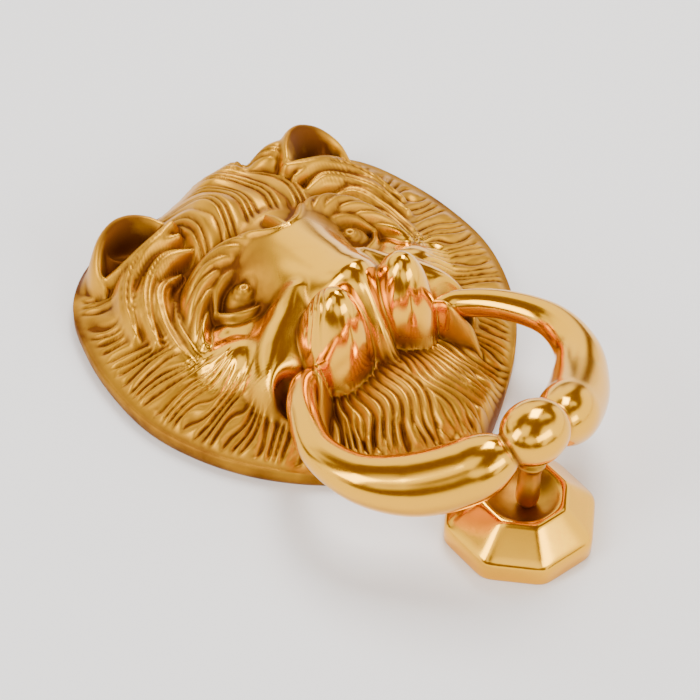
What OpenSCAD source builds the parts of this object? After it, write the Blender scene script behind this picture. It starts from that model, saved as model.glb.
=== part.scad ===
// Lion-head door knocker with a swinging ring and a separate strike plate.
// Millimetres. The door face is z = 0, +Z stands out from the door and +Y points up it.

/* [Head] */
// Width of the head at its widest
head_w = 130; // [108:1:156]
// Height of the head from brow edge to chin point
head_h = 139; // [116:1:167]
// How far the nose stands out from the door
face_d = 44; // [37:0.5:53]
// Thickness of the plain edge all round the mane
rim_t = 5; // [4:0.5:6.5]
// Width of the flat land that sits on the door
land_w = 5; // [4:0.5:8]
// Depth of the hollow behind the face
hollow_d = 10; // [6:0.5:12]

/* [Ring] */
// Width between the middles of the two arms at their widest
ring_w = 85; // [76:1:102]
// Thickness of the arms near the pivots
arm_t = 8.6; // [7.6:0.2:10.4]
// Thickness of the swelling beside the ball
swell_t = 18.4; // [15:0.2:22.2]
// Diameter of the ball
ball_d = 18.8; // [16:0.2:22.6]
// How far the swellings hang below the line from pivot to ball
sag = 7.5; // [0:0.5:9]

/* [Pivot] */
// Height of the pivot line above the door
pivot_z = 19; // [17:0.5:23]
// Distance of the pivot line below the middle of the face
pivot_drop = 25; // [22:0.5:28]
// Diameter of the pivot rod
rod_d = 4; // [3:0.25:5]
// Diameter of the round eye at the end of each arm
eye_d = 9.2; // [8:0.2:11]

/* [Striker and plate] */
// Width of the strike plate across its flats
plate_w = 42; // [35:0.5:50]
// Height of the strike plate's upright wall
plate_wall = 7; // [5:0.5:9]
// Full height of the strike plate
plate_h = 15; // [12:0.5:18]
// Width of the strike plate's top across its flats
plate_top_w = 25; // [20:0.5:30]
// Diameter of the striker stud
stud_d = 7; // [5.5:0.5:9]
// Height of the middle of the ball above the door when the ring is down
ball_z = 40.5; // [36:0.5:46]
// Gap between the chin and the strike plate
chin_gap = 0.5; // [0.4:0.1:16]
// How far the ball hangs past the middle of the plate
ball_past = 2; // [0:0.5:3]

/* [Fixings and fits] */
// Diameter of the plain hole left for the thread of each fixing bolt
bolt_hole_d = 5; // [4:0.25:6.8]
// Radial clearance between the rod and the eyes
run_fit = 0.05; // [0.02:0.01:0.1]
// Side play between each eye and the head
side_gap = 0.5; // [0.3:0.1:1]
// Gap left under the striker stud when the ring is down
rest_gap = 0.05; // [0.02:0.01:0.2]

/* [Hidden] */
$fn = 48;

brass = [0.85, 0.62, 0.28];
steel = [0.62, 0.62, 0.64];

// The face is drawn for a 130 x 139 x 44 head and stretched to the sizes above.
sx = head_w / 130;
sy = head_h / 139;
sz = (face_d - rim_t) / 39;

piv_y = -pivot_drop;
seat_x = 23 * sx;
eye_x = seat_x + side_gap;
eye_l = 6.5;
socket_r = eye_d / 2 + 1.9;

chin_y = -69 * sy;
plate_y = chin_y - chin_gap - plate_w / 2;
ball_y = plate_y - ball_past;
ring_l = norm([ball_y - piv_y, ball_z - pivot_z]);
tilt = atan2(ball_z - pivot_z, piv_y - ball_y);
foot_d = plate_w / cos(22.5);
top_d = plate_top_w / cos(22.5);
dish_r = plate_top_w / 2 - 2;
dish_d = 3.5;
dish_ball = (dish_r * dish_r + dish_d * dish_d) / (2 * dish_d);
dish_floor = plate_h - dish_d;
stud_tip = dish_floor + rest_gap + dish_ball - sqrt(pow(dish_ball, 2) - pow(plate_y - ball_y, 2));

// Distance from the middle of the face to its edge, every 15 degrees from brow round to chin.
edge = [70, 72, 77, 77, 71.5, 67, 64, 61, 59, 58, 58.5, 62, 69];

// Smooth curve through a list at a place t counted in steps, mirrored at both ends.
function pick(v, i) = v[i < 0 ? -i : i > len(v) - 1 ? 2 * (len(v) - 1) - i : i];
function curve(v, t) =
    let (i = min(floor(t), len(v) - 2), f = t - i,
         a = pick(v, i - 1), b = pick(v, i), c = pick(v, i + 1), d = pick(v, i + 2))
    b + f / 2 * (c - a + f * (2 * a - 5 * b + 4 * c - d + f * (3 * (b - c) + d - a)));

// Edge radius at an angle counted from the top of the head.
function edge_r(a) = curve(edge, (a > 180 ? 360 - a : a) / 15);

// Swellings of the face: middle x, middle y, half width, half height, turn, foot height, rise.
swells = [
    [0, 6, 50, 50, 0, 5, 17],
    [0, 42, 33, 27, 0, 8, 19],
    [36, 56, 14, 9, 0, 6, 11],
    [41, 33, 13, 17, -20, 5, 15],
    [31, -3, 17, 15, 35, 6, 14.5],
    [0, -12, 29, 27, 0, 6, 20],
    [0, -42, 30, 32, 0, 3, 18]
];
lobe = [12.2, -20, 11.4, 13, -12, 14, 30];
eye_pit = [18.5, 15, 10, 8, 8.5];
eye_ball = [19.8, 14, 7.4, 6.2, -8, 14.5, 9];
mouth_pit = [30.5, -26, 6, 7, 6];

// Nose bridge from chin end to brow: y, crest height, half width.
bridge = [
    [-44, 0, 3], [-32, 22, 3], [-26, 30, 4.5], [-21, 36.5, 6], [-17, 41, 7.5],
    [-13, 43, 9.3], [-9, 42.2, 10.5],
    [-2, 39.8, 11.5], [8, 37.3, 12.5], [18, 35.2, 15], [24, 33, 16], [36, 26, 16]
];

// Rolls that follow a path: each point is x, y, crest height and half width.
rolls = [
    [[9.5, 23.5, 31.5, 3.5], [20, 26.3, 29.6, 5], [31.5, 20.3, 23.8, 5], [38, 8, 16.8, 3.5]],
    [[12, -3, 33, 6], [21, -9.5, 28.5, 7.5], [30, -17, 23.5, 6.5], [32.5, -27, 17, 3.5]],
    [[22.5, -24.5, 24, 3.5], [25.5, -28.5, 25.5, 4.5], [28.5, -38.5, 10, 3]],
    [[12, 17, 23, 2.2], [19, 20.8, 25, 2.4], [29, 15, 20, 2]],
    [[12, 9, 20.5, 2], [20, 6.8, 21.5, 2.4], [29, 12, 19.5, 2]],
    [[46.5, 48, 13, 3], [45.6, 53, 17.5, 3.6], [36, 59.2, 25, 4], [26.5, 54.5, 26, 4], [23.5, 48, 25, 3.4]],
    [[23, 45, 26, 3.6], [40, 43.5, 21, 4.2], [50.5, 26, 13, 3]],
    [[22.5, 38.5, 24.5, 3.6], [37.5, 37, 20.6, 4.2], [47.5, 19.5, 14, 3]],
    [[21, 57, 23, 5], [14, 50, 28.5, 6.5], [14.5, 34, 26, 5.5]],
    [[1, 57, 28, 5], [4.5, 49, 31, 5.5], [4, 34, 27, 5]]
];

function at(v, y, k) = lookup(y, [for (p = v) [p[0], p[k]]]);
function soft(a, b, k) = max(a, b) + pow(max(k - abs(a - b), 0), 2) / (4 * k);
function oval(s, x, y) =
    let (c = cos(s[4]), n = sin(s[4]), u = x - s[0], v = y - s[1])
    pow((u * c + v * n) / s[2], 2) + pow((v * c - u * n) / s[3], 2);
function bump(s, x, y) =
    let (q = oval(s, x, y))
    s[5] + s[6] * (q < 1 ? 1 - q : 1.5 * (1 - q));
function egg(s, x, y) =
    let (q = oval(s, x, y))
    s[5] + s[6] * (q < 1 ? sqrt(1 - q) : 1.5 * (1 - q));
function pit(p, x, y) = p[4] * exp(-pow((x - p[0]) / p[2], 2) * 1.2 - pow((y - p[1]) / p[3], 2) * 1.2);
function bridge_z(x, y) = at(bridge, y, 1) - 7.5 * pow(x / at(bridge, y, 2), 2);
function along(p, a, b, x, y) =
    let (d = [b[0] - a[0], b[1] - a[1]], t = max(0, min(1, ([x - a[0], y - a[1]] * d) / (d * d))),
         g = norm([x - a[0], y - a[1]] - t * d), w = a[3] + t * (b[3] - a[3]))
    a[2] + t * (b[2] - a[2]) - 5 * pow(g / w, 2);
function roll_z(p, x, y) = max([for (i = [0:len(p) - 2]) along(p, p[i], p[i + 1], x, y)]);

// Each form in a list is joined to the ones before it by a soft maximum.
function pile(v, k, i, z) = i == len(v) ? z : pile(v, k, i + 1, soft(z, v[i], k));

// Height of the face at a place given as a share of the way to the edge.
function dome(r) = 13 * (1 - pow(r, 2.4));
function face(x, y, r) =
    let (m = abs(x),
         body = pile([for (s = swells) bump(s, m, y)], 4, 0, dome(r) + rim_t) - pit(eye_pit, m, y),
         skin = soft(soft(body, bridge_z(m, y), 2.5), bump(eye_ball, m, y), 1),
         top = pile([for (p = rolls) roll_z(p, m, y)], 1.5, 0, soft(skin, egg(lobe, m, y), 1)),
         fade = min(1, (1 - r) * 12))
    rim_t + (max(top - pit(mouth_pit, m, y), rim_t) - rim_t) * fade * (2 - fade);

NA = 112;
NR = 32;
NC = 7;
land_r = 1 - land_w / 62;
function place(i, r) = let (a = 360 * i / NA, e = edge_r(a)) [e * r * sin(a), e * r * cos(a)];
function skin_point(i, r) =
    let (p = place(i, r))
    [p[0] * sx, p[1] * sy, rim_t + (face(p[0], p[1], r) - rim_t) * sz];
function hollow_point(i, r) =
    let (p = place(i, r * land_r)) [p[0] * sx, p[1] * sy, hollow_d * pow(1 - pow(r, 3), 0.6)];

// One ring of points after another: face from edge to middle, then edge foot, land, hollow to middle.
module casting() {
    rings = [
        for (k = [0:NR - 1]) [for (i = [0:NA - 1]) skin_point(i, 1 - k / NR)]
    ];
    back = [
        for (k = [0:NC - 1]) [for (i = [0:NA - 1]) hollow_point(i, 1 - k / NC)]
    ];
    foot = [for (i = [0:NA - 1]) let (p = place(i, 1)) [p[0] * sx, p[1] * sy, 0]];
    loops = concat([for (k = [NC - 1:-1:0]) back[k]], [foot], rings);
    flat = [for (l = loops) each l];
    n = len(loops);
    points = concat(flat, [hollow_point(0, 0)], [skin_point(0, 0)]);
    low = len(flat);
    quads = [
        for (k = [0:n - 2], i = [0:NA - 1], h = [0, 1])
            let (a = k * NA + i, b = k * NA + (i + 1) % NA)
            h == 0 ? [a, b, b + NA] : [a, b + NA, a + NA]
    ];
    caps = [
        for (i = [0:NA - 1], h = [0, 1])
            h == 0 ? [low, (i + 1) % NA, i] : [low + 1, (n - 1) * NA + i, (n - 1) * NA + (i + 1) % NA]
    ];
    polyhedron(points, concat(quads, caps));
}

module along_x(x, r, l) {
    translate([x, piv_y, pivot_z])
        rotate([0, 90, 0])
        cylinder(h = l, r = r);
}

// Socket for one eye, wider above so that the arm clears the cheek as the ring lifts.
// The cheek grows with the head, and so does this room.
swing_r = socket_r + 2.3 * max(sx, sy);
module socket() {
    along_x(seat_x, socket_r, 12);
    intersection() {
        along_x(seat_x + 2.2, swing_r, 10.5);
        translate([seat_x, piv_y - swing_r, pivot_z - 3]) cube([14, 2 * swing_r, swing_r + 3]);
    }
}

boss_d = 14;
bolt_depth = 14;
upper_y = 42;

module lion_head() {
    color(brass)
    difference() {
        union() {
            casting();
            for (y = [0, upper_y])
                translate([0, y, 0]) cylinder(h = hollow_d + 6, d = boss_d);
        }
        for (y = [0, upper_y])
            translate([0, y, -1]) cylinder(h = bolt_depth + 1, d = bolt_hole_d);
        along_x(-seat_x - 1, rod_d / 2, 2 * seat_x + 2);
        for (m = [0, 1])
            mirror([m, 0, 0]) socket();
    }
}

module pivot_rod() {
    color(steel)
    along_x(-eye_x - eye_l, rod_d / 2, 2 * (eye_x + eye_l));
}

// Arm line from eye to ball: shares of the eye, width and ball in its side place, length share,
// rise share of the sag, and thickness share.
arm_line = [
    [1.00, 0.00, 0.00, 0.00, 0.05, 0.00],
    [0.37, 0.63, 0.00, 0.20, 0.13, 0.06],
    [0.00, 1.00, 0.00, 0.40, -0.20, 0.18],
    [0.00, 0.93, 0.00, 0.60, -0.70, 0.53],
    [0.00, 0.61, 0.55, 0.75, -1.00, 0.92],
    [0.00, 0.34, 0.67, 0.87, -0.80, 1.00],
    [0.00, 0.12, 0.92, 0.945, -0.35, 0.80],
    [0.00, 0.00, 0.88, 0.985, -0.10, 0.12],
    [0.00, 0.00, 0.45, 0.995, 0.00, 0.05]
];
arm_x0 = eye_x + arm_t / 2;
arm_x1 = ring_w / 2;
NS = 44;
NP = 20;

function arm_at(t) =
    let (p = curve(arm_line, t))
    [p[0] * arm_x0 + p[1] * arm_x1 + p[2] * ball_d / 2, -p[3] * ring_l, p[4] * sag];
function arm_r(t) = (arm_t + (swell_t - arm_t) * curve(arm_line, t)[5]) / 2;
function arm_loop(t) =
    let (p = arm_at(t), d = arm_at(min(t + 0.02, len(arm_line) - 1)) - arm_at(max(t - 0.02, 0)),
         f = d / norm(d), s = [f[1], -f[0], 0] / norm([f[0], f[1]]), w = cross(s, f), r = arm_r(t))
    [for (i = [0:NP - 1]) p + r * (cos(360 * i / NP) * s + sin(360 * i / NP) * w)];

module arm() {
    steps = [for (k = [0:NS]) k / NS * (len(arm_line) - 1)];
    points = [for (t = steps) each arm_loop(t)];
    sides = [
        for (k = [0:NS - 1], i = [0:NP - 1], h = [0, 1])
            let (a = k * NP + i, b = k * NP + (i + 1) % NP)
            h == 0 ? [a, b, b + NP] : [a, b + NP, a + NP]
    ];
    ends = [[for (i = [NP - 1:-1:0]) i], [for (i = [0:NP - 1]) NS * NP + i]];
    polyhedron(points, concat(sides, ends));
}

module ring_place() {
    translate([0, piv_y, pivot_z])
        rotate([-tilt, 0, 0])
        children();
}

stud_seat = ball_z - ball_d / 2 + 5;

module knocker_ring() {
    color(brass)
    difference() {
        union() {
            ring_place() {
                for (m = [0, 1])
                    mirror([m, 0, 0]) arm();
                translate([0, -ring_l, 0]) sphere(d = ball_d);
            }
            for (m = [0, 1])
                mirror([m, 0, 0]) along_x(eye_x, eye_d / 2, eye_l);
        }
        along_x(-eye_x - 20, rod_d / 2 + run_fit, 2 * eye_x + 40);
        translate([0, ball_y, 0]) cylinder(h = stud_seat, d = stud_d);
    }
}

module striker_stud() {
    color(brass)
    translate([0, ball_y, 0]) {
        translate([0, 0, stud_tip + stud_d / 2])
            cylinder(h = stud_seat - stud_tip - stud_d / 2, d = stud_d);
        translate([0, 0, stud_tip + stud_d / 2])
            sphere(d = stud_d);
    }
}

module strike_plate() {
    color(brass)
    translate([0, plate_y, 0])
    difference() {
        rotate([0, 0, 22.5]) {
            cylinder(h = plate_wall, d = foot_d, $fn = 8);
            translate([0, 0, plate_wall])
                cylinder(h = plate_h - plate_wall, d1 = foot_d, d2 = top_d, $fn = 8);
        }
        translate([0, 0, dish_floor + dish_ball]) sphere(r = dish_ball);
        translate([0, 0, -1]) cylinder(h = plate_wall + 1, d = bolt_hole_d);
    }
}

lion_head();
pivot_rod();
knocker_ring();
striker_stud();
strike_plate();
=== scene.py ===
# %% [markdown]
# A lion-head door knocker in polished brass.
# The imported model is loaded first, as a fixed frame. Everything below is made around it,
# in metres, with the door face at z = 0, the forehead towards +Y and the face towards +Z.

# %% Load the frame
import math
import bpy
import numpy as np
from mathutils import Euler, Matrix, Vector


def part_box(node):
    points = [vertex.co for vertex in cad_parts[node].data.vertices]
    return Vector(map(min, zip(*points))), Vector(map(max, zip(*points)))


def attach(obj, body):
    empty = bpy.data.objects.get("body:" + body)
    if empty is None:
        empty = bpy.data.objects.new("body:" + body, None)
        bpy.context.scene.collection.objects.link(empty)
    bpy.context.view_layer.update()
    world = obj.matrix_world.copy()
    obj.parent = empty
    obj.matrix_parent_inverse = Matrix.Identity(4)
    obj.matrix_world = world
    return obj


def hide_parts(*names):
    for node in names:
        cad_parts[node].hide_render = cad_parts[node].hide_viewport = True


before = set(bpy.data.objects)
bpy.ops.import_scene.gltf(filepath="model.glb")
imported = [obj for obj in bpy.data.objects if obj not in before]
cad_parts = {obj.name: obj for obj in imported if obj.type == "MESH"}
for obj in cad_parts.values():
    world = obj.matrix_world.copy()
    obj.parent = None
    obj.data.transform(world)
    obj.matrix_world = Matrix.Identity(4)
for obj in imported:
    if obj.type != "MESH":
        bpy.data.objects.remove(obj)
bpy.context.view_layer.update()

MM = 0.001

# %% [markdown]
# The camera looks down at the knocker from its lower left with a long lens, so the ring and
# the strike plate come nearest. A long lens keeps the octagon's opposite edges nearly parallel.

# %% Camera
scene = bpy.context.scene
camera = bpy.data.objects.new("camera", bpy.data.cameras.new("camera"))
scene.collection.objects.link(camera)
camera.location = (-0.3190, -0.3996, 0.5329)
camera.rotation_euler = Euler([math.radians(a) for a in (43.605, -1.366, -38.066)])
camera.data.sensor_width = 36
camera.data.lens = 125.1
camera.data.clip_start = 0.01
scene.camera = camera
print("camera at", tuple(camera.location))

# %% [markdown]
# Every surface here is a grid of points worked out with numpy. One helper turns such a grid
# into a mesh: rows run one way, columns the other, and each way may close on itself.

# %% Grid to mesh
def grid_faces(rows, cols, wrap_cols):
    """Corner numbers of the quads of a grid: each cell takes its own corner, the next one along
    the column way, the one diagonally on, and the next one along the row way."""
    r = np.arange(rows - 1)[:, None]
    c = np.arange(cols if wrap_cols else cols - 1)[None, :]
    n = (c + 1) % cols
    return np.stack([r * cols + c, r * cols + n, (r + 1) * cols + n, (r + 1) * cols + c], -1).reshape(-1, 4)


def make_piece(name, points_mm, faces, material, marks=None):
    """Mesh from points in millimetres and a list of face arrays, with smooth shading."""
    mesh = bpy.data.meshes.new(name)
    loops = np.concatenate([f.ravel() for f in faces]).astype(np.int32)
    sizes = np.concatenate([np.full(len(f), f.shape[1]) for f in faces]).astype(np.int32)
    starts = np.concatenate([[0], np.cumsum(sizes)[:-1]]).astype(np.int32)
    mesh.vertices.add(len(points_mm))
    mesh.vertices.foreach_set("co", (points_mm * MM).astype(np.float32).ravel())
    mesh.loops.add(len(loops))
    mesh.loops.foreach_set("vertex_index", loops)
    mesh.polygons.add(len(sizes))
    mesh.polygons.foreach_set("loop_start", starts)
    mesh.update(calc_edges=True)
    mesh.validate()
    mesh.polygons.foreach_set("use_smooth", np.ones(len(mesh.polygons), bool))
    for mark, values in (marks or {}).items():
        layer = mesh.attributes.new(mark, "FLOAT", "POINT")
        layer.data.foreach_set("value", values.astype(np.float32))
    mesh.materials.append(material)
    piece = bpy.data.objects.new(name, mesh)
    scene.collection.objects.link(piece)
    print(name, "has", len(mesh.polygons), "faces")
    return piece


# %% [markdown]
# Polished cast brass is bright gold where the mop reached and brown where it did not. The
# relief stores how deep each point sits as a mark on the mesh, and painted shade is added to
# that mark in the eye pits, ear cups and ring sockets, on the stud under the ball and in the
# plate's dish. One node group mixes the polish, the brown and a faint cast mottle from it.
# The shader stays in each material.

# %% Brass node groups
def build_patina_and_shade_group():
    """One shared group: depth and satin marks in, the depth mark carrying painted shade as well as patina;
    colour, roughness and fine cast normal out.
    """
    group = bpy.data.node_groups.new("brass patina and painted shade", "ShaderNodeTree")
    face = group.interface
    for name, kind, default in (("Hollow patina and shade", "NodeSocketFloat", 0.0), ("Satin", "NodeSocketFloat", 0.0),
                                ("Bright", "NodeSocketColor", (0.94, 0.47, 0.02, 1)),
                                ("Brown patina and shade", "NodeSocketColor", (0.16, 0.050, 0.008, 1))):
        socket = face.new_socket(name, in_out="INPUT", socket_type=kind)
        socket.default_value = default
    for name, kind in (("Color", "NodeSocketColor"), ("Roughness", "NodeSocketFloat"),
            ("Normal", "NodeSocketVector")):
        face.new_socket(name, in_out="OUTPUT", socket_type=kind)
    n, link = group.nodes, group.links.new
    inp, out = n.new("NodeGroupInput"), n.new("NodeGroupOutput")
    place = n.new("ShaderNodeTexCoord")
    mottle = n.new("ShaderNodeTexNoise")
    mottle.inputs["Scale"].default_value = 90
    mottle.inputs["Detail"].default_value = 5
    fine = n.new("ShaderNodeTexNoise")
    fine.inputs["Scale"].default_value = 900
    fine.inputs["Detail"].default_value = 3
    for noise in (mottle, fine):
        link(place.outputs["Object"], noise.inputs["Vector"])
    deep = n.new("ShaderNodeMath")
    deep.operation = "MULTIPLY_ADD"
    deep.inputs[1].default_value = 0.42
    link(inp.outputs["Satin"], deep.inputs[0])
    link(inp.outputs["Hollow patina and shade"], deep.inputs[2])
    blotch = n.new("ShaderNodeMapRange")
    blotch.inputs["From Min"].default_value = 0.3
    blotch.inputs["From Max"].default_value = 0.75
    blotch.inputs["To Min"].default_value = 0.65
    blotch.inputs["To Max"].default_value = 1.15
    link(mottle.outputs["Fac"], blotch.inputs["Value"])
    mask = n.new("ShaderNodeMath")
    mask.operation = "MULTIPLY"
    mask.use_clamp = True
    link(deep.outputs[0], mask.inputs[0])
    link(blotch.outputs[0], mask.inputs[1])
    mix = n.new("ShaderNodeMix")
    mix.data_type = "RGBA"
    link(mask.outputs[0], mix.inputs["Factor"])
    link(inp.outputs["Bright"], mix.inputs[6])
    link(inp.outputs["Brown patina and shade"], mix.inputs[7])
    tint = n.new("ShaderNodeHueSaturation")
    shade = n.new("ShaderNodeMapRange")
    shade.inputs["To Min"].default_value = 0.93
    shade.inputs["To Max"].default_value = 1.05
    link(mottle.outputs["Fac"], shade.inputs["Value"])
    link(shade.outputs[0], tint.inputs["Value"])
    link(mix.outputs[2], tint.inputs["Color"])
    link(tint.outputs[0], out.inputs["Color"])
    rough = n.new("ShaderNodeMapRange")
    rough.inputs["To Min"].default_value = 0.10
    rough.inputs["To Max"].default_value = 0.42
    link(mask.outputs[0], rough.inputs["Value"])
    smear = n.new("ShaderNodeMath")
    smear.operation = "MULTIPLY_ADD"
    smear.inputs[1].default_value = 0.08
    link(fine.outputs["Fac"], smear.inputs[0])
    link(rough.outputs[0], smear.inputs[2])
    dull = n.new("ShaderNodeMath")
    dull.operation = "MULTIPLY_ADD"
    dull.inputs[1].default_value = 0.14
    link(inp.outputs["Satin"], dull.inputs[0])
    link(smear.outputs[0], dull.inputs[2])
    link(dull.outputs[0], out.inputs["Roughness"])
    bump = n.new("ShaderNodeBump")
    bump.inputs["Strength"].default_value = 0.12
    bump.inputs["Distance"].default_value = 0.0003
    link(mottle.outputs["Fac"], bump.inputs["Height"])
    link(bump.outputs[0], out.inputs["Normal"])
    return group


patina_and_shade_group = build_patina_and_shade_group()


def brass_material(name, satin_marked):
    """Metal shader fed by the patina and painted shade group from the marks kept on the mesh."""
    material = bpy.data.materials.new(name)
    material.use_nodes = True
    n, link = material.node_tree.nodes, material.node_tree.links.new
    shader = n["Principled BSDF"]
    shader.inputs["Metallic"].default_value = 1.0
    group = n.new("ShaderNodeGroup")
    group.node_tree = patina_and_shade_group
    for mark, socket in (("hollow", "Hollow patina and shade"), ("satin", "Satin"))[:1 + satin_marked]:
        layer = n.new("ShaderNodeAttribute")
        layer.attribute_name = mark
        link(layer.outputs["Fac"], group.inputs[socket])
    link(group.outputs["Color"], shader.inputs["Base Color"])
    link(group.outputs["Roughness"], shader.inputs["Roughness"])
    link(group.outputs["Normal"], shader.inputs["Normal"])
    return material


face_brass = brass_material("face brass", True)
ring_brass = brass_material("ring brass", False)
plate_brass = brass_material("plate brass", False)
print("brass materials ready")

# %% [markdown]
# The relief is one height above the door for every place on the face, so it is built like a
# sculptor's clay: a low dome, then swellings and rolls laid over it. Two forms do nearly all
# of it. A swelling is a paraboloid on an oval. A roll follows a curved path with its own
# crest height and width. Each is joined to what lies below by a soft maximum, which leaves a
# crease as tight as its radius.

# %% Relief tools
def smooth_max(a, b, k):
    """Larger of two heights, eased over a band k wide: the larger plus the square of what is
    left of k after their difference, over four k."""
    return np.maximum(a, b) + np.maximum(k - np.abs(a - b), 0) ** 2 / (4 * k)


def step(v, low, high):
    """Smooth 0 to 1 as v goes from low to high: three t squared less two t cubed."""
    t = np.clip((v - low) / (high - low), 0, 1)
    return t * t * (3 - 2 * t)


def oval(x, y, cx, cy, a, b, turn=0.0):
    """Squared distance from an oval's middle, 1 on its edge, after turning by turn degrees."""
    c, s = math.cos(math.radians(turn)), math.sin(math.radians(turn))
    u, v = x - cx, y - cy
    return ((u * c + v * s) / a) ** 2 + ((v * c - u * s) / b) ** 2


def swelling(q, foot, rise, power=1.0):
    """Foot height plus rise times (1 - q) to a power, falling straight on below the foot."""
    return foot + rise * np.where(q < 1, np.maximum(1 - q, 0) ** power, -1.5 * (q - 1))


def spline(points, per=8):
    """Smooth curve through points: each span is the Catmull-Rom cubic of its four neighbours."""
    p = np.asarray(points, float)
    p = np.vstack([2 * p[0] - p[1], p, 2 * p[-1] - p[-2]])
    t = np.linspace(0, 1, per, endpoint=False)[:, None]
    spans = [0.5 * (2 * b + t * (c - a) + t**2 * (2 * a - 5 * b + 4 * c - d) + t**3 * (3 * b - a - 3 * c + d))
             for a, b, c, d in zip(p[:-3], p[1:-2], p[2:-1], p[3:])]
    return np.vstack(spans + [p[-2][None]])


def table(v, places, values):
    """Value at v read from a smooth curve through the given places."""
    line = spline(list(zip(places, values)), 16)
    return np.interp(v, line[:, 0], line[:, 1])


def follow(x, y, points, reach):
    """Nearest place on a curve for every point within reach: which points, their signed
    distance to the left of the curve, length along it, and the curve's other values there."""
    line = spline(points)
    near = np.nonzero((x > line[:, 0].min() - reach) & (x < line[:, 0].max() + reach)
                      & (y > line[:, 1].min() - reach) & (y < line[:, 1].max() + reach))
    px, py = x[near][:, None], y[near][:, None]
    a, b = line[:-1], line[1:]
    d = b - a
    size = np.hypot(d[:, 0], d[:, 1])
    t = np.clip(((px - a[:, 0]) * d[:, 0] + (py - a[:, 1]) * d[:, 1]) / size**2, 0, 1)
    ox, oy = px - a[:, 0] - t * d[:, 0], py - a[:, 1] - t * d[:, 1]
    best = np.argmin(ox**2 + oy**2, 1)
    k = np.arange(len(best))
    t, ox, oy = t[k, best], ox[k, best], oy[k, best]
    side = np.sign(d[best, 0] * oy - d[best, 1] * ox) * np.hypot(ox, oy)
    along = np.concatenate([[0], np.cumsum(size)])[best] + t * size[best]
    values = a[best, 2:] + t[:, None] * d[best, 2:]
    return near, side, along, values, size.sum()


def comb(phase):
    """Strands side by side: 0 on each crest and -1 in each sharp groove, one for each whole
    step of phase, from the size of the sine of pi times the phase."""
    return np.abs(np.sin(np.pi * phase)) ** 0.75 - 1


def roll(z, x, y, points, drop, k, strands=0, cut=0.0, lean=None, fade=0.2):
    """Lay a roll over heights z. Points hold x, y, crest height and half width; the roll's
    height is the crest less drop times the squared share of the half width. Strands are
    grooves cut beside each other along it."""
    widest = max(p[3] for p in points)
    near, side, along, values, length = follow(x, y, points, 1.8 * widest)
    share = side / values[:, 1]
    h = values[:, 0] - drop * share**2
    if strands:
        phase = share * strands / 2 + 0.5 * (strands % 2)
        if lean:
            phase = (along * math.sin(lean) - side * math.cos(lean)) / (2 * widest / strands)
        ends = np.minimum(step(along, 0, fade * length), 1 - step(along, (1 - 0.5 * fade) * length, length))
        h = h + cut * comb(phase) * np.clip(1.3 - np.abs(share), 0, 1) * (0.35 + 0.65 * ends)
    out = z.copy()
    out[near] = smooth_max(z[near], h, k)
    return out


# %% [markdown]
# The outline is a distance from the middle of the face for each direction, from the brow round
# to the chin, the same on both sides. It is read through a smooth curve.

# %% Outline
# Millimetres from the middle of the face, every 15 degrees from brow to chin.
EDGE = np.array([70, 72, 77, 77, 71.5, 67, 64, 61, 59, 58, 58.5, 62, 69])
RIM = 5.0
LAND_W = 5
HOLLOW_D = 10.0


def edge_radius(x, y):
    """Outline distance in the direction of each point: the cubic through the table's four
    nearest values, mirrored at brow and chin."""
    a = np.abs(np.arctan2(x, y)) / math.radians(15)
    i = np.minimum(np.floor(a).astype(int), 11)
    f = a - i
    mirrored = np.concatenate([[EDGE[1]], EDGE, [EDGE[-2]]])
    p, q, r, s = (mirrored[i + j] for j in range(4))
    return q + f / 2 * (r - p + f * (2 * p - 5 * q + 4 * r - s + f * (3 * (q - r) + s - p)))


print("outline from", EDGE[0], "at the brow to", EDGE[-1], "at the chin")

# %% [markdown]
# The masses come first: dome, forehead, temples, cheeks and the muzzle with its flat-topped
# bridge. The bridge stops above the eyes in a shallow V whose arms run out into the brows.

# %% Masses of the face
BRIDGE_Y = [-44, -32, -26, -21, -17, -13, -9, -2, 8, 18, 24, 30, 36]
BRIDGE_Z = [0, 22, 30, 36.5, 41, 43, 42.2, 39.8, 37.3, 35.2, 34.5, 33, 31]
BRIDGE_W = [3, 3, 4.5, 6, 7.5, 9.3, 10.5, 11.5, 12.5, 15, 16, 16, 16]


def masses(x, y, rho):
    """Broad forms: a dome, swellings joined by soft maxima, eye pits, then the nose bridge."""
    m = np.abs(x)
    z = RIM + 13 * (1 - rho**2.4)
    z = smooth_max(z, swelling(oval(m, y, 0, 6, 50, 50), 5, 17), 4)
    z = smooth_max(z, swelling(oval(m, y, 0, 42, 33, 27), 8, 20), 5)
    z = smooth_max(z, swelling(oval(m, y, 36, 56, 14, 9), 6, 13), 3)
    z = smooth_max(z, swelling(oval(m, y, 41, 33, 13, 17, -20), 5, 13), 4)
    z = smooth_max(z, swelling(oval(m, y, 31, -3, 17, 15, 35), 6, 14.5), 4)
    z = smooth_max(z, swelling(oval(m, y, 0, -12, 29, 27), 6, 20), 4)
    z = smooth_max(z, swelling(oval(m, y, 0, -42, 30, 32), 3, 18), 4)
    z = smooth_max(z, swelling(oval(x, y, 25, 57, 17, 10), 6, 20), 4)
    z = z - 8.5 * np.exp(-oval(m, y, 18.5, 15, 10.5, 8, -10) ** 1.5)
    crest = table(y, BRIDGE_Y, BRIDGE_Z)
    width = table(y, BRIDGE_Y, BRIDGE_W)
    bridge = crest - 7.5 * (m / width) ** 2
    top = 19 + 5.5 * (np.minimum(m, 13) / 10) ** 1.6
    bridge = bridge - 6.5 * step(y - top, -0.5, 6)
    return smooth_max(z, bridge, 4)


# %% [markdown]
# Then the features: brows, eyes with lids and cut rings, the side bands that run from the nose
# to the ring's sockets, two egg-shaped lobes with whisker cuts, jowls, and cupped ears.

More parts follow.
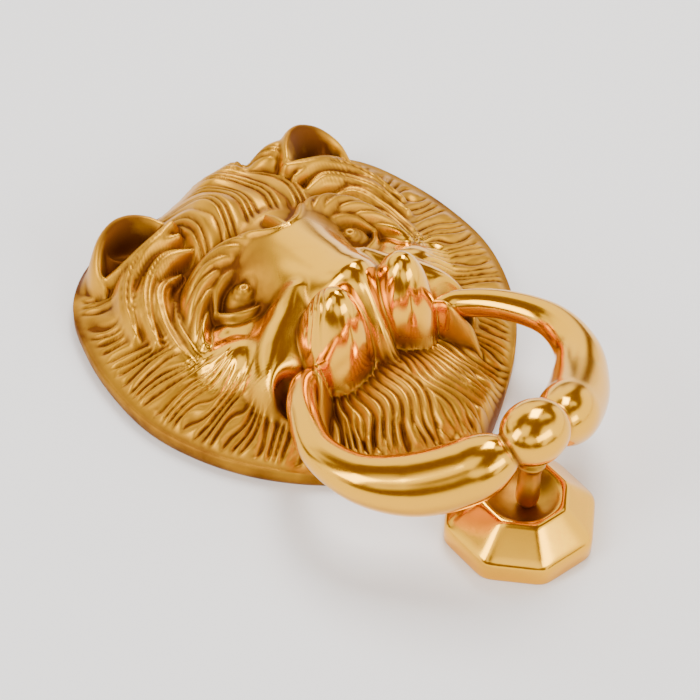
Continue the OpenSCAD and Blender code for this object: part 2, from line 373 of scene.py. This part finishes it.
# %% Features of the face
def features(z, x, y):
    """Brow ridge, brows, eyes and lids, cheek bands, lobes with whisker grooves, and mouth rolls."""
    m = np.abs(x)
    z = roll(z, m, y, [(0, 18.2, 35.8, 1.5), (5, 19.8, 35, 1.5), (9.5, 24.2, 33, 1.7),
            (11.5, 27, 30.5, 1.6)], 3, 0.8)
    z = roll(z, m, y, [(0, 18, 35.2, 1.6), (0, 24, 33.5, 1.4), (0, 29, 31, 1.2)], 3, 1)
    z = roll(z, m, y, [(9.5, 23.5, 31.5, 3), (14, 25.8, 31.2, 4), (20, 26.3, 29.6, 4.6),
            (26, 24.4, 27.2, 4.7),
                       (31.5, 20.3, 23.8, 4.5), (35.5, 14.5, 20, 4), (38, 8, 16.8,
                               2.8)], 4.5, 1.5, 3, 1.4, 0.5)
    eye = swelling(oval(m, y, 19.8, 13.8, 8, 6.4, -8), 15.5, 8.6, 0.75)
    z = smooth_max(z, eye, 0.6)
    r = np.hypot(m - 20, (y - 13.6) * 1.12)
    z = z - 0.5 * np.exp(-((r - 3.6) / 0.45) ** 2) - 0.35 * np.exp(-((r - 2.2) / 0.35) ** 2)
    z = z + 0.35 * np.exp(-((r - 1.2) / 0.5) ** 2) - 0.6 * np.exp(-(r / 0.6) ** 2)
    upper = [(9.5, 11, 19.5, 1.2), (13, 17.2, 23.5, 1.9), (19, 20.8, 25.2, 2.2), (25.5, 19.2, 23.6, 2.0),
            (30, 14, 19.5, 1.2)]
    lower = [(10, 11.5, 19, 1.2), (14, 8.4, 20.4, 1.4), (20, 7.2, 21.2, 1.6), (26, 9.2, 20.6, 1.5),
            (29.5, 13.5, 19, 1.2)]
    bag = [(12, 5, 20, 3), (18, 2.4, 20, 3.6), (24.5, 3.4, 19.2, 3.6), (29.5, 7.5, 17.5, 3)]
    for line in (upper, lower):
        z = roll(z, m, y, line, 2.4, 1.5)
    z = roll(z, m, y, bag, 1.4, 3)
    band = [(12, -3, 33.5, 5), (16, -6.5, 31, 6.5), (21, -9.5, 28.5, 7), (26, -13, 26, 7),
            (30, -17, 23.5, 6), (32, -22, 20.5, 4.5), (32.5, -27, 17, 3)]
    z = roll(z, m, y, band, 3.6, 3)
    lobe_q = oval(m, y, 12.2, -20, 11.4, 13, -12)
    lobe = swelling(lobe_q, 13, 32, 0.62)
    z = smooth_max(z, lobe, 2)
    over = 0.764 * m + 0.645 * y
    down = 0.645 * m - 0.764 * y
    across = step(over, -1.5, -0.5) * (1 - step(over, 6.5, 7.5))
    whiskers = across * step(down, 19, 22) * (1 - step(down, 30, 34))
    z = z + 0.9 * comb(over / 1.55 + 0.1 * np.sin(down)) * whiskers * (1 - step(lobe_q, 0.55, 0.8))
    z = roll(z, m, y, [(0, -15, 42, 2), (0, -20, 38, 1.6), (0, -25, 31, 1.3), (0, -30, 21, 1)], 2, 1)
    z = roll(z, m, y, [(22.5, -24.5, 24, 3), (25.5, -28.5, 25.5, 4.2), (27.5, -33.5, 18.5, 4.2),
            (28.5, -38.5, 10, 2.5)], 8, 1.5)
    return z


def ears(z, x, y):
    """Two cupped ears; the right one stands a little taller, as its casting does."""
    m = np.abs(x)
    taller = 2.0 * step(x, 0, 20) - 0.6
    cup = oval(m, y, 34.5, 53, 9.5, 6.5, 12)
    z = np.where(cup < 1, np.minimum(z, 14 + 6 * cup), z)
    rim = [(46.5, 48, 13, 2.4), (45.6, 53, 17.5, 3), (41.6, 57.4, 22, 3.3), (36, 59.2, 25, 3.4),
           (31, 58.2, 26, 3.4), (26.5, 54.5, 26, 3.2), (23.5, 50, 25, 3)]
    z = roll(z - taller, m, y, rim, 6, 1.5) + taller
    front = [(22, 48, 26, 3), (28, 46.5, 25.5, 3.6), (35, 46, 23.5, 3.6), (41, 47, 19.5, 3),
            (45.5, 49.5, 14.5, 2)]
    return roll(z, m, y, front, 6, 1.5, 4, 0.6)


# %% [markdown]
# Hair is cut as strands. Locks on the forehead and temples are rolls with grooves along them.
# Round the edge the mane is a comb of strands square to the outline, each starting at its own
# depth, and under the mouth the beard fans out from one point.

# %% Hair and temple locks
def jitter(n, seed):
    """A repeatable number from 0 to 1 for each whole number: the broken part of a big sine."""
    v = np.sin(n * 12.9898 + seed * 78.233) * 43758.5453
    return v - np.floor(v)


def forelock(z, x, y, rho):
    """Forehead hair: strands that share one S-shaped flow, so a strand is a whole step of the
    distance across the flow. Every eight or so strands ride on one broad tuft."""
    flow = table(y, [28, 33, 38, 43, 48, 53, 58, 63, 70], [-2, -1.5, 0, 1.6, 1.4, -1.5, -6.5, -12.5, -22])
    u = x - flow
    tuft = np.cos(math.pi * (u + 13.5) / 18.5)
    strand = comb(u / 3.3 + 0.15 * np.sin(y * 0.3) + 0.3 * np.sin(u * 0.7))
    inside = step(y, 31 - 2 * tuft, 36 - 2 * tuft) * (1 - step(np.abs(x), 21, 27)) * (1 - step(rho, 0.9,
            0.98))
    z = z + inside * (2.8 * tuft * (1 - 0.8 * step(y, 48, 58)) + 1.3 * strand + 0.3)
    top = table(x, [-40, -27, -20, -14, -6, 0, 6, 11, 16, 21, 26, 40],
            [12, 13, 15, 16.5, 20, 23.5, 24.2, 25, 26.5, 28.5, 30, 30])
    return -smooth_max(-z, 1.18 * (y - 60) - top, 4)


def temples(z, x, y):
    """Four locks on each side, grooved along their length and drawn to a point at the start."""
    m = np.abs(x)
    locks = [
        [(22, 44, 24, 1.6), (31, 45.5, 24.2, 3.6), (40, 43, 20.8, 3.8), (46.5, 36, 17, 3.4),
                (50.5, 26, 13, 2.2)],
        [(21.5, 38, 22, 1.6), (30, 40, 23.2, 3.6), (37.5, 37, 20.6, 3.8), (43.5, 30, 18, 3.4),
                (47.5, 19.5, 14, 2.2)],
        [(28, 34.5, 18, 1.2), (36, 33, 19, 3.2), (40.5, 26.5, 17, 3.2), (43, 17, 14.8, 2.8),
                (43.5, 7, 12.8, 1.8)],
        [(35, 27.5, 15.5, 1.2), (38.8, 20, 16.8, 2.8), (40.5, 11, 15, 2.4), (41.2, 2.5, 13.5, 1.6)],
    ]
    for line in locks:
        z = roll(z, m, y, line, 4, 1.8, 4, 1.0)
    return z


def mane_depth(x, y, rho):
    """Depth of the mane grooves: strands square to the outline, in tufts, wandering a little."""
    turn = np.arctan2(x, y)
    wander = 0.9 * np.sin(rho * 11 + turn * 5) + 0.5 * np.sin(turn * 23 + rho * 17)
    phase = np.abs(turn) * 122 / (2 * math.pi) + 0.45 * wander + 0.3 * np.sin(np.abs(turn) * 31)
    strand = np.floor(phase)
    start = np.interp(np.abs(turn), [0, 0.5, 0.75, 1.2, 1.6, 1.9, 2.2, 2.6, 3.2],
            [0.98, 0.97, 0.87, 0.75, 0.64, 0.64, 0.68, 0.8, 0.9])
    start = start - 0.02 + 0.1 * (jitter(strand, 1) - 0.5) + 0.03 * np.sin(turn * 17)
    stop = 0.965 + 0.02 * (jitter(strand, 2) - 0.5)
    fade = step(rho, start - 0.05, start + 0.06) * (1 - step(rho, stop - 0.05, stop + 0.01))
    tuft = comb(phase / 3 + 0.2 * jitter(np.floor(phase / 3), 4))
    cross = comb(phase * 1.5 + 7 * rho)
    return fade * (1.9 * comb(phase) + 1.0 * tuft + 0.25 * cross + 0.6)


def beard_depth(x, y):
    """Depth of the beard grooves: strands that fan out from a point above the mouth."""
    fan = np.arctan2(x, -(y + 2)) + 0.03 * np.sin(y * 0.25) * np.sign(x)
    phase = fan / 0.062 + 0.5 + 0.12 * np.sin(y * 0.4 + fan * 9)
    inside = step(-y, 24, 28) * (1 - step(np.abs(fan), 0.62, 0.78))
    clear = step(oval(np.abs(x), y, 12.2, -20, 11.4, 13, -12), 0.95, 1.25)
    return inside * clear * (1.15 * comb(phase) + 0.5 * comb(phase / 3) + 0.5)


# %% [markdown]
# The face's grid is a square bent onto the outline, so its cells stay nearly even from the nose
# to the edge and no pole lands on the face.

# %% Face grid
N = 280


def square_to_disc(n):
    """Concentric map: a point of the square at distance r from its middle, by the larger of its
    two sides, goes to the circle of radius r, and its angle is a share of the quarter turn."""
    s = np.linspace(-1, 1, n + 1)
    u, v = np.meshgrid(s, s, indexing="xy")
    wide = np.abs(u) > np.abs(v)
    r = np.where(wide, u, v)
    safe = np.where(r == 0, 1, r)
    a = np.where(wide, math.pi / 4 * v / safe, math.pi / 2 - math.pi / 4 * u / safe)
    return r * np.cos(a), r * np.sin(a)


def face_height(x, y, rho):
    """All forms laid over each other, the ring's sockets cut in, and a fade down to the rim."""
    z = masses(x, y, rho)
    z = forelock(z, x, y, rho)
    z = z + mane_depth(x, y, rho) + beard_depth(x, y)
    z = temples(z, x, y)
    z = ears(z, x, y)
    z = features(z, x, y)
    socket = np.exp(-oval(np.abs(x), y, 30.5, -26, 5, 6) ** 2)
    z = z - np.maximum(z - 10, 0) * socket
    fade = np.minimum(1, (1 - rho) * 14)
    return RIM + (np.maximum(z, RIM) - RIM) * fade * (2 - fade)


u, v = square_to_disc(N)
rho = np.hypot(u, v)
edge = edge_radius(u, v)
X, Y = u * edge, v * edge
Z = face_height(X, Y, rho)
print("face height from", Z.min().round(2), "to", Z.max().round(2), "mm")


# %% [markdown]
# The mop never reaches the bottom of a groove, so the metal stays brown there. Each height is
# compared with a smoothed copy of itself, once finely and once broadly, to mark the recesses.
# Painted shade is added on top in the eye pits, the ear cups and the ring's sockets.

# %% Hollow patina and painted shade mark
def soften(z, passes):
    """Average each height with its four neighbours, again and again, for a smoother copy."""
    for _ in range(passes):
        p = np.pad(z, 1, mode="edge")
        z = (p[:-2, 1:-1] + p[2:, 1:-1] + p[1:-1, :-2] + p[1:-1, 2:] + 2 * z) / 6
    return z


slope = np.hypot(*np.gradient(soften(Z, 3))) / (140 / N)
fine_hollow = np.clip((soften(Z, 5) - Z) / 0.2 / (1 + slope**2), 0, 1)
broad_hollow = np.clip((soften(Z, 260) - Z) / 4.0 / (1 + 0.4 * slope), 0, 1)
side = np.abs(X)
ear_pit = 1 - step(oval(side, Y, 34.5, 53, 9.5, 6.5, 12), 0.5, 1.3)
eye_pit = np.exp(-oval(side, Y, 19.5, 14, 11.5, 8.5) ** 1.5) * (1 - 0.7 * np.exp(-oval(side, Y, 19.8, 14,
        5, 4) ** 2))
arm_pit = np.exp(-oval(side, Y, 30.5, -26, 6.5, 7.5) ** 2)
# Painted shade: browner in the eye pits, the ear cups and the sockets where the ring's arms sit.
shade = 0.8 * ear_pit + 0.5 * eye_pit + 0.9 * arm_pit
hollow = soften(np.clip(0.9 * fine_hollow + 1.0 * broad_hollow + shade, 0, 1), 1)


def polished(x, y):
    """1 where the mop reaches: bridge, lobes and side bands, cheeks, and the tops of the brows."""
    m = np.abs(x)
    spots = [oval(m, y, 0, 0, 13, 20), oval(m, y, 13, -19, 14, 16, -10), oval(m, y, 32, -2, 16, 12, 35),
             oval(m, y, 24, -14, 13, 10, -30)]
    return 1 - step(np.minimum.reduce(spots), 0.7, 1.5)


satin = 1 - polished(X, Y)

# %% [markdown]
# The head is cast hollow. Its skin runs down to a thin foot, in over a flat land that sits on
# the door, and up into a shallow dome, all in one closed mesh.

# %% Head mesh
def boundary(n):
    """Corner numbers round the edge of the square grid, in order."""
    w = n + 1
    south = np.arange(0, n)
    east = np.arange(n, n * w + n, w)
    north = np.arange(n * w + n, n * w, -1)
    west = np.arange(n * w, 0, -w)
    return np.concatenate([south, east, north, west])


loop = boundary(N)
ex, ey = X.ravel()[loop], Y.ravel()[loop]
inner = 1 - LAND_W / 62
rings = [np.stack([ex, ey, np.full_like(ex, 1.0)], 1),
        np.stack([ex * 0.994, ey * 0.994, np.zeros_like(ex)], 1)]
for r in (1.0, 0.985, 0.95, 0.88, 0.75, 0.5, 0.25):
    rings.append(np.stack([ex * inner * r, ey * inner * r,
            np.full_like(ex, HOLLOW_D * (1 - r**3) ** 0.6)], 1))
top_points = np.stack([X.ravel(), Y.ravel(), Z.ravel()], 1)
points = np.vstack([top_points] + rings + [[[0, 0, HOLLOW_D]]])
cols = len(loop)
base = len(top_points)
faces = [grid_faces(N + 1, N + 1, False)]
first = loop[None, :]
numbers = np.vstack([first, base + np.arange(len(rings) * cols).reshape(len(rings), cols)])
nxt = np.roll(numbers, -1, 1)
faces.append(np.stack([nxt[:-1], numbers[:-1], numbers[1:], nxt[1:]], -1).reshape(-1, 4))
faces.append(np.stack([nxt[-1], numbers[-1], np.full(cols, len(points) - 1)], -1))
rest = len(rings) * cols + 1
head = make_piece("head_casting", points, faces, face_brass,
                  {"hollow": np.append(hollow.ravel(), np.full(rest, 0.6)),
                          "satin": np.append(satin.ravel(), np.ones(rest))})
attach(head, "fixed")
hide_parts("lion_head")

# %% [markdown]
# Two bosses stand in the hollow behind the face and take the fixing bolts. They are cast with
# the head and drilled after, so each is a plain turned post with a bore from the back.

# %% Fixing bosses
def lathe(profile, across, cx, cy):
    """Spin a profile of radius and height about an upright axis."""
    a = np.linspace(0, 2 * math.pi, across, endpoint=False)
    r, h = profile[:, 0][:, None], profile[:, 1][:, None]
    return np.stack([cx + r * np.cos(a), cy + r * np.sin(a), h + 0 * a], -1)


def tube_faces(rows, cols):
    """Quads of a closed tube and one many-sided face at each end."""
    ends = [np.array([np.arange(cols)[::-1]]), np.array([(rows - 1) * cols + np.arange(cols)])]
    return [grid_faces(rows, cols, True)] + ends


BOSS_PLACES = (("boss_low", 0), ("boss_high", 42))
boss_profile = np.array([(0.02, 14), (2.5, 14), (2.5, 0.4), (2.9, 0), (6.6, 0), (7, 0.4), (7, 14.6),
        (6.5, 15), (0.02, 15)])
for boss_name, boss_y in BOSS_PLACES:
    boss_grid = lathe(boss_profile, 40, 0, boss_y)
    boss = make_piece(boss_name, boss_grid.reshape(-1, 3), tube_faces(len(boss_profile), 40), plate_brass,
                      {"hollow": np.full(len(boss_profile) * 40, 0.7)})
    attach(boss, "fixed")
    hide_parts("lion_head")

# %% [markdown]
# The ring is one skin swept along a single path, from the left eye through the ball to the
# right eye. Its radius swells along each arm, nips in to a crease, and rounds over the ball.

# %% Ring path
PIVOT = np.array([0, -25.0, 19.0])
BALL_Z = 40.5
stud_low, stud_high = (np.array(corner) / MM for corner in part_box("striker_stud"))
BALL_Y = (stud_low[1] + stud_high[1]) / 2
RING_L = math.hypot(BALL_Y - PIVOT[1], BALL_Z - PIVOT[2])
TILT = math.asin((BALL_Z - PIVOT[2]) / RING_L)
print("ring rises", round(math.degrees(TILT), 1), "degrees from its pivot")


def ring_place(p):
    """Ring's own places, side, length and rise, to the part's: turned about the pivot line."""
    c, s = math.cos(TILT), math.sin(TILT)
    return np.stack([p[:, 0], PIVOT[1] - p[:, 1] * c + p[:, 2] * s,
            PIVOT[2] + p[:, 1] * s + p[:, 2] * c], 1)


half = [
    (0, RING_L, 0.8, 9, 9), (10.5, 68.4, -2.0, 9, 9), (20.5, 62, -6, 9.1, 9.4), (31, 53.2, -7.6, 8.6, 9),
    (40, 42.5, -5.4, 6.8, 7), (42.6, 28.5, -1.6, 5.4, 5), (37, 14, 1.0, 4.6, 4.3), (29.5, 3, 0.8, 4.2, 4.3),
    (24, 0, 0, 4.2, 4.2),
]


def ring_line():
    """The half path mirrored and joined at the ball, with its two radii."""
    right = np.array(half, float)
    left = right[:0:-1] * [-1, 1, 1, 1, 1]
    return spline(np.vstack([left, right]), 24)


def sweep(line, across):
    """Closed tube along a line: at each place the path's direction, a side vector in the ring's
    plane and their cross product carry an oval with the line's two radii."""
    p = line[:, :3]
    d = np.gradient(p, axis=0)
    d /= np.linalg.norm(d, axis=1)[:, None]
    side = np.cross(d, [0, 0, 1.0])
    side /= np.linalg.norm(side, axis=1)[:, None]
    up = np.cross(side, d)
    a = np.linspace(0, 2 * math.pi, across, endpoint=False)
    return (p[:, None] + line[:, 3, None, None] * np.cos(a)[None, :, None] * side[:, None]
            + line[:, 4, None, None] * np.sin(a)[None, :, None] * up[:, None])


line = ring_line()
walk = np.concatenate([[0], np.cumsum(np.linalg.norm(np.diff(line[:, :3], axis=0), axis=1))])
middle = walk[len(walk) // 2]
away = np.abs(walk - middle)
ball = 9.2 * np.sqrt(np.maximum(1 - (away / 10.2) ** 2, 0))
bulb = np.sqrt(np.clip(1 - ((20 - np.minimum(away, 20)) / 13.6) ** 2, 0, 1))
for column in (3, 4):
    line[:, column] = np.maximum(line[:, column] * bulb, ball)
tube = sweep(line, 48)
ring_points = ring_place(tube.reshape(-1, 3))
crease = np.exp(-((away - 8.4) / 0.8) ** 2)
ring_mark = np.repeat(0.08 + 0.9 * crease, 48)
ring = make_piece("ring_casting", ring_points, tube_faces(len(line), 48), ring_brass, {"hollow": ring_mark})
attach(ring, "ring")
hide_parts("knocker_ring")

# %% [markdown]
# The stud is turned: one profile spun about its own axis, with a collar where it meets the
# ball and a rounded end that lands in the plate's dish.

# %% Striker stud
tip, top = stud_low[2], stud_high[2]
stud_profile = spline([(0.05, tip), (1.8, tip + 0.35), (3.1, tip + 2), (3.4, tip + 4.5), (3.3, tip + 9),
        (3.2, tip + 13),
                       (3.5, tip + 16), (4.2, tip + 18), (3.4, tip + 20), (3.3, top - 0.2), (0.05, top)], 6)
stud_grid = lathe(stud_profile, 48, 0, BALL_Y)
# The stud is marked brown all over: painted shade under the ball.
stud = make_piece("striker_turning", stud_grid.reshape(-1, 3), tube_faces(len(stud_profile), 48),
        ring_brass,
                  {"hollow": np.full(stud_grid.shape[0] * 48, 0.8)})
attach(stud, "ring")
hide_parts("striker_stud")

# %% [markdown]
# The strike plate is an octagon whose corners are a little soft. Its radius in each direction
# is one over a high power sum of the cosines of its four pairs of flats, which rounds every
# corner alike. The dish inside the top is round.

# %% Strike plate
plate_low, plate_high = (np.array(corner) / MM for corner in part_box("strike_plate"))
PLATE_Y = (plate_low[1] + plate_high[1]) / 2
PLATE_SCALE = (plate_high[0] - plate_low[0]) / 40


def octagon(a, power):
    """Radius of a unit octagon with soft corners: one over the root of the summed powers of
    the cosines towards its flats."""
    flats = np.arange(4) * math.pi / 4
    return (np.abs(np.cos(a[:, None] - flats)) ** power).sum(1) ** (-1 / power)


def plate_points(across):
    """Rows of radius, height and how far each follows the octagon (1) or a circle (0)."""
    a = np.linspace(0, 2 * math.pi, across, endpoint=False)
    bore = [(0.02, 7, 0), (2.5, 7, 0), (2.5, 0.3, 0), (2.8, 0, 0)]
    wall = [(19.4, 0, 1), (19.9, 0.35, 1), (20, 0.9, 1), (20, 3.5, 1), (19.9, 5.6, 1), (19.6, 6.5, 1)]
    facets = [(19.0, 7.3, 1), (17.8, 8.6, 1), (15.2, 11.3, 1), (12.6, 14.0, 1), (12.1, 14.5, 1),
            (11.6, 14.8, 1)]
    lip = [(11.1, 14.95, 1), (10.6, 14.95, 0.7), (10.1, 14.7, 0.2), (9.6, 14.2, 0)]
    dish = [(8.6, 13.5, 0), (7, 12.75, 0), (5, 12.1, 0), (2.5, 11.65, 0), (0.02, 11.5, 0)]
    rows = bore + wall + facets + lip + dish
    shape = octagon(a, 30)
    out = []
    for r, h, k in rows:
        reach = r * (PLATE_SCALE if r > 4 else 1) * (k * shape + 1 - k)
        out.append(np.stack([reach * np.cos(a), PLATE_Y + reach * np.sin(a), np.full_like(a, h)], 1))
    # The dish under the ball and stud, and the bore at the back, are marked dark as painted shade; the lip
    # grades into the dish.
    hollow = np.repeat([1, 1, 0.9, 0.6] + [0.05] * 13 + [0.15, 0.5, 0.9, 0.95, 0.95, 0.9, 0.9, 0.9], across)
    return np.vstack(out), len(rows), hollow


plate_xyz, plate_rows, plate_mark = plate_points(192)
plate = make_piece("plate_casting", plate_xyz, tube_faces(plate_rows, 192), plate_brass,
        {"hollow": plate_mark})
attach(plate, "fixed")
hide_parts("strike_plate")

# %% [markdown]
# The rod is a plain length of bar, so the CAD node is kept as it is and only gets a finish.

# %% Pivot rod
def steel_material():
    """Drawn bar: grey tone and roughness that vary together."""
    material = bpy.data.materials.new("drawn steel")
    material.use_nodes = True
    n, link = material.node_tree.nodes, material.node_tree.links.new
    shader = n["Principled BSDF"]
    shader.inputs["Metallic"].default_value = 1.0
    place = n.new("ShaderNodeTexCoord")
    lines = n.new("ShaderNodeTexNoise")
    lines.inputs["Scale"].default_value = 400
    ramp = n.new("ShaderNodeMapRange")
    ramp.inputs["To Min"].default_value = 0.25
    ramp.inputs["To Max"].default_value = 0.5
    tone = n.new("ShaderNodeMix")
    tone.data_type = "RGBA"
    tone.inputs[6].default_value = (0.50, 0.49, 0.47, 1)
    tone.inputs[7].default_value = (0.64, 0.63, 0.61, 1)
    link(place.outputs["Object"], lines.inputs["Vector"])
    link(lines.outputs["Fac"], ramp.inputs["Value"])
    link(lines.outputs["Fac"], tone.inputs["Factor"])
    link(ramp.outputs[0], shader.inputs["Roughness"])
    link(tone.outputs[2], shader.inputs["Base Color"])
    return material


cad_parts["pivot_rod"].material_slots[0].material = steel_material()
print("pivot rod in drawn steel")

# %% [markdown]
# A pale floor and soft light. Polished metal shows its surroundings, so the sky is bright with
# soft dark patches, and three soft panels give the long highlights.

# %% Floor and light
def floor_material():
    """Plain matt floor."""
    material = bpy.data.materials.new("pale floor")
    material.use_nodes = True
    shader = material.node_tree.nodes["Principled BSDF"]
    shader.inputs["Base Color"].default_value = (0.93, 0.93, 0.93, 1)
    shader.inputs["Roughness"].default_value = 0.9
    return material


floor_mesh = bpy.data.meshes.new("floor")
floor_mesh.from_pydata([(-3, -3, 0), (3, -3, 0), (3, 3, 0), (-3, 3, 0)], [], [(0, 1, 2, 3)])
floor_mesh.materials.append(floor_material())
floor = bpy.data.objects.new("floor", floor_mesh)
scene.collection.objects.link(floor)


def panel(name, place, size, power, target=(0, -0.02, 0.02)):
    """A soft area light that faces its target."""
    light = bpy.data.lights.new(name, "AREA")
    light.shape = "RECTANGLE"
    light.size, light.size_y = size
    light.energy = power
    obj = bpy.data.objects.new(name, light)
    scene.collection.objects.link(obj)
    obj.location = place
    way = np.array(place) - np.array(target)
    yaw = math.atan2(way[0], -way[1])
    pitch = math.atan2(math.hypot(way[0], way[1]), way[2])
    obj.rotation_euler = Euler((pitch, 0, yaw))
    return obj


panel("key panel", (0.35, 0.25, 0.9), (0.35, 0.5), 9)
panel("left panel", (-0.9, 0.1, 0.6), (0.4, 0.6), 7)
panel("low panel", (0.1, -0.9, 0.5), (0.7, 0.3), 4)
world = bpy.data.worlds.new("studio")
scene.world = world
world.use_nodes = True
w, wire = world.node_tree.nodes, world.node_tree.links.new
sky = w["Background"]
sky.inputs["Strength"].default_value = 2.1
way = w.new("ShaderNodeTexCoord")
clouds = w.new("ShaderNodeTexNoise")
clouds.inputs["Scale"].default_value = 1.6
clouds.inputs["Detail"].default_value = 1.0
shades = w.new("ShaderNodeValToRGB")
shades.color_ramp.elements[0].position = 0.42
shades.color_ramp.elements[0].color = (0.13, 0.075, 0.05, 1)
shades.color_ramp.elements[1].position = 0.56
shades.color_ramp.elements[1].color = (1, 0.99, 0.96, 1)
wire(way.outputs["Generated"], clouds.inputs["Vector"])
wire(clouds.outputs["Fac"], shades.inputs["Fac"])
wire(shades.outputs["Color"], sky.inputs["Color"])
